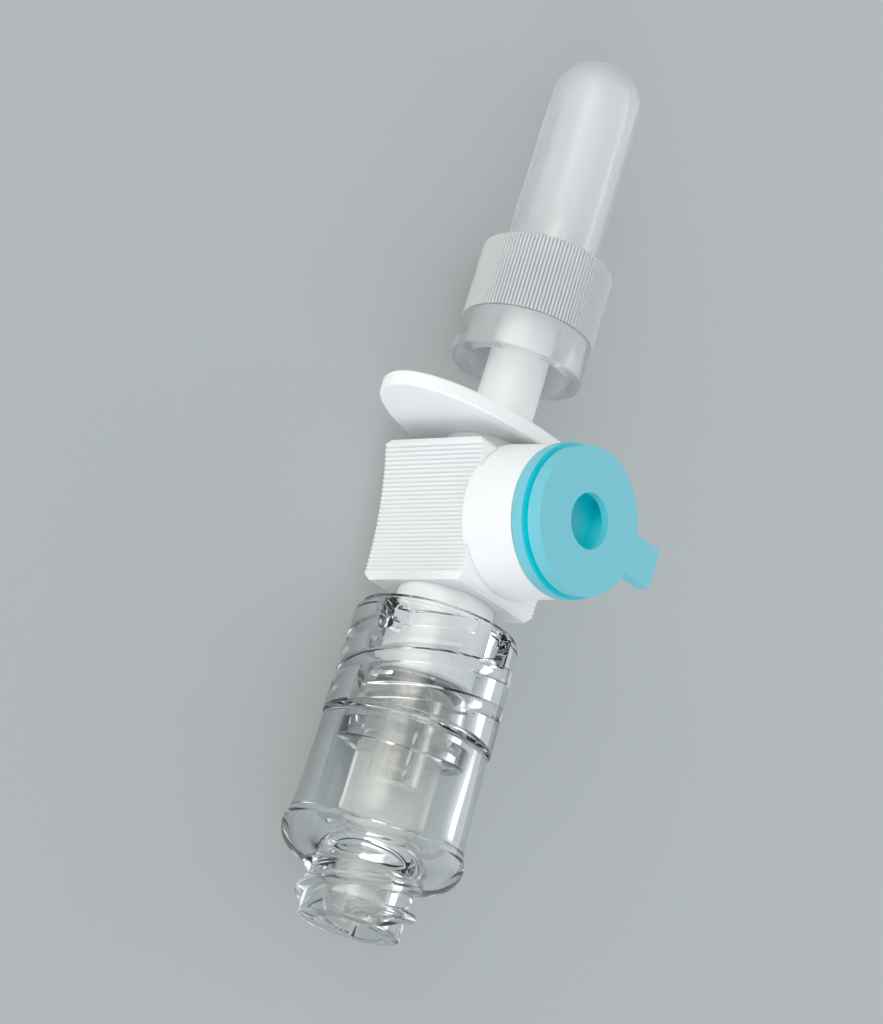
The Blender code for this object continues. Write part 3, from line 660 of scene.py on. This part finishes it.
# Where along the grip, and how far in from the crest, the ribs' ends slope down
KNURL_ENDS = (
    (KNURL_FOOT, 0.2), (KNURL_LOW + 0.05, 0.06), (KNURL_LOW + 0.16, 0.0),
    (KNURL_HIGH - 0.3, 0.0), (KNURL_HIGH - 0.1, 0.06), (KNURL_HIGH, 0.2),
)


def knurl_mesh(name):
    """The ribs of the grip, as one ring round the cover's core."""
    work = bmesh.new()
    rings = []
    for level, depth in KNURL_ENDS:
        rib = [KNURL_RADIUS - max(wave, depth) for wave in KNURL_WAVE]
        rings.append(ring_of(work, rib * KNURL_COUNT, level))
    points = len(rings[0])
    for radius, level in ((KNURL_TOP_BORE, KNURL_HIGH), (KNURL_FOOT_BORE, KNURL_FOOT)):
        rings.append(ring_of(work, [radius] * points, level))
    rings.append(rings[0])
    bridge(work, rings)
    return finished(name, work)


def spike_cover():
    """The milky cover: a domed tube, a knurled grip and a plain skirt, in one moulding."""
    outer = arc(0.0, DOME_LEVEL, TUBE_RADIUS, TUBE_RADIUS, 90, 0, 24)
    inner = arc(0.0, DOME_LEVEL, TUBE_BORE, TUBE_BORE, 0, 90, 16)
    lower = soften([
        (TUBE_RADIUS, DOME_LEVEL), (TUBE_FOOT_RADIUS, KNURL_HIGH), (GRIP_CORE_RADIUS, KNURL_HIGH),
        (GRIP_CORE_RADIUS, KNURL_LOW), (SKIRT_RADIUS, KNURL_LOW), (SKIRT_RADIUS, SKIRT_END),
        (SKIRT_BORE, SKIRT_END), (SKIRT_BORE, SKIRT_ROOF), (TUBE_FOOT_BORE, SKIRT_ROOF),
        (TUBE_BORE, DOME_LEVEL),
    ], SOFT_EDGE)
    # The first and last corner are where the dome's arcs begin, so their rounding is left out
    profile = outer + lower[4:-4] + inner
    cover = place("spike_cover_milky", turned_mesh("spike_cover_milky", profile))
    combine(cover, "UNION", [place("knurl", knurl_mesh("knurl"))])
    dress(cover, MILKY, "spike_cover")


valve_base()
valve_housing()
valve_seal()
spike_cover()


# White body, teal cap and membrane

def crisp_copy(name, node, material):
    """The node's own solid again, shaded so that ribs and edges stay sharp."""
    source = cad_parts[node]
    work = bmesh.new()
    work.from_mesh(source.data)
    bmesh.ops.remove_doubles(work, verts=work.verts, dist=TINY)
    work.verts.index_update()
    mesh = bpy.data.meshes.new(name)
    mesh.from_pydata(
        [vertex.co for vertex in work.verts], [], [[v.index for v in face.verts] for face in work.faces],
    )
    work.free()
    mesh.validate()
    copy = linked(name, mesh)
    copy.matrix_world = source.matrix_world.copy()
    mesh.shade_smooth()
    mesh.set_sharp_from_angle(angle=CRISP_ANGLE)
    weigh = copy.modifiers.new("weigh", "WEIGHTED_NORMAL")
    weigh.keep_sharp = True
    combine(copy, "UNION", [])
    mesh = copy.data
    mesh.materials.clear()
    mesh.materials.append(material)
    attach(copy, "root")
    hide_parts(node)


crisp_copy("spike_body_white", "spike_body", WHITE)
crisp_copy("vent_cap_teal", "vent_cap", TEAL)
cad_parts["vent_membrane"].data.materials.clear()
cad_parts["vent_membrane"].data.materials.append(FILTER)


# Floor, light and camera

BLACK = (0.0, 0.0, 0.0)
FLOOR_HALF = 3.0             # metres
FLOOR_SEEN = (0.475, 0.505, 0.507)
FLOOR_BOUNCE = (0.90, 0.91, 0.91)
FLOOR_GLOW = 0.4             # share of the floor's look that no shadow takes away, but not through glass


def by_ray(nodes, links, bounced, colours):
    """A colour for each kind of ray that looks at a surface, and another for the light it bounces."""
    path = nodes.new("ShaderNodeLightPath")
    result = None
    for output, colour in colours:
        mix = nodes.new("ShaderNodeMix")
        mix.data_type = "RGBA"
        links.new(path.outputs[output], mix.inputs["Factor"])
        if result is None:
            mix.inputs["A"].default_value = (*bounced, 1.0)
        else:
            links.new(result, mix.inputs["A"])
        mix.inputs["B"].default_value = (*colour, 1.0)
        result = mix.outputs["Result"]
    return result


def make_floor():
    """A plain floor that keeps the object's shadow and lights it from below."""
    work = bmesh.new()
    bmesh.ops.create_grid(work, x_segments=1, y_segments=1, size=FLOOR_HALF)
    mesh = bpy.data.meshes.new("floor")
    work.to_mesh(mesh)
    work.free()
    floor = linked("floor", mesh)
    made, nodes, links, bsdf = shader("plain_floor")
    lit = [(1.0 - FLOOR_GLOW) * channel for channel in FLOOR_SEEN]
    glow = [FLOOR_GLOW * channel for channel in FLOOR_SEEN]
    looks = (("Is Glossy Ray", lit), ("Is Transmission Ray", FLOOR_SEEN), ("Is Camera Ray", lit))
    glows = (("Is Glossy Ray", glow), ("Is Transmission Ray", BLACK), ("Is Camera Ray", glow))
    links.new(by_ray(nodes, links, FLOOR_BOUNCE, looks), bsdf.inputs["Base Color"])
    links.new(by_ray(nodes, links, BLACK, glows), bsdf.inputs["Emission Color"])
    bsdf.inputs["Emission Strength"].default_value = 1.0
    bsdf.inputs["Roughness"].default_value = 0.8
    bsdf.inputs["Specular IOR Level"].default_value = 0.2
    mesh.materials.append(made)


# Bright panels of the studio: direction, half angle that is fully lit, half angle where it ends, colour
PANELS = (
    ((-0.29, -0.86, 0.43), 6.0, 26.0, (1.95, 1.87, 1.7)),
    ((0.9, -0.3, 0.2), 10.0, 50.0, (1.4, 1.45, 1.5)),
    ((-0.38, 0.90, 0.12), 12.0, 40.0, (1.0, 1.05, 1.1)),
    ((-0.1, -0.99, -0.05), 15.0, 65.0, (0.7, 0.7, 0.69)),
)
HORIZON = (0.36, 0.37, 0.38)
CEILING = (0.58, 0.61, 0.63)
HORIZON_END = 0.12           # height in the sky, from 0 at the horizon to 1 overhead
CEILING_START = 0.45


def make_world():
    """A studio that is dim at the horizon and bright above, with soft-edged panels of light in it."""
    world = bpy.data.worlds.new("studio")
    bpy.context.scene.world = world
    world.use_nodes = True
    nodes, links = world.node_tree.nodes, world.node_tree.links
    coordinates = nodes.new("ShaderNodeTexCoord")
    split = nodes.new("ShaderNodeSeparateXYZ")
    links.new(coordinates.outputs["Generated"], split.inputs["Vector"])
    tone = ramp(nodes, links, split.outputs["Z"], [(0.0, HORIZON), (CEILING_START, CEILING)])
    low = tone.color_ramp.elements.new(HORIZON_END)
    low.color = (*HORIZON, 1.0)
    light = tone.outputs["Color"]
    for direction, lit, end, colour in PANELS:
        towards = nodes.new("ShaderNodeVectorMath")
        towards.operation = "DOT_PRODUCT"
        links.new(coordinates.outputs["Generated"], towards.inputs[0])
        towards.inputs[1].default_value = Vector(direction).normalized()
        fade = nodes.new("ShaderNodeMapRange")
        fade.interpolation_type = "SMOOTHERSTEP"
        fade.inputs["From Min"].default_value = math.cos(math.radians(end))
        fade.inputs["From Max"].default_value = math.cos(math.radians(lit))
        links.new(towards.outputs["Value"], fade.inputs["Value"])
        add = nodes.new("ShaderNodeMix")
        add.data_type = "RGBA"
        add.blend_type = "ADD"
        add.clamp_factor = False
        links.new(fade.outputs["Result"], add.inputs["Factor"])
        links.new(light, add.inputs["A"])
        add.inputs["B"].default_value = (*colour, 1.0)
        light = add.outputs["Result"]
    links.new(light, nodes["Background"].inputs["Color"])
    nodes["Background"].inputs["Strength"].default_value = 1.0


# Found from the picture, in the device's own frame
CAMERA_PLACE = Vector((-136.62, -138.47, -60.10)) * MM
CAMERA_RIGHT = Vector((0.62277507, -0.73205267, 0.27613419))
CAMERA_UP = Vector((-0.42247833, -0.01758823, 0.90620236))
FOCAL_PIXELS = 3190
IMAGE_HEIGHT = 1024


def make_camera():
    """The photograph's viewpoint, found from the picture and held in the device's own frame."""
    lens = bpy.data.cameras.new("camera")
    lens.sensor_fit = "VERTICAL"
    lens.sensor_height = 24.0
    lens.lens = lens.sensor_height * FOCAL_PIXELS / IMAGE_HEIGHT
    lens.clip_start = 0.01
    camera = linked("camera", lens)
    back = CAMERA_RIGHT.cross(CAMERA_UP)
    turn = Matrix((CAMERA_RIGHT, CAMERA_UP, back)).transposed().to_4x4()
    camera.matrix_world = REST @ Matrix.Translation(CAMERA_PLACE) @ turn
    bpy.context.scene.camera = camera


make_floor()
make_world()
make_camera()
bpy.context.scene.view_settings.view_transform = "Standard"
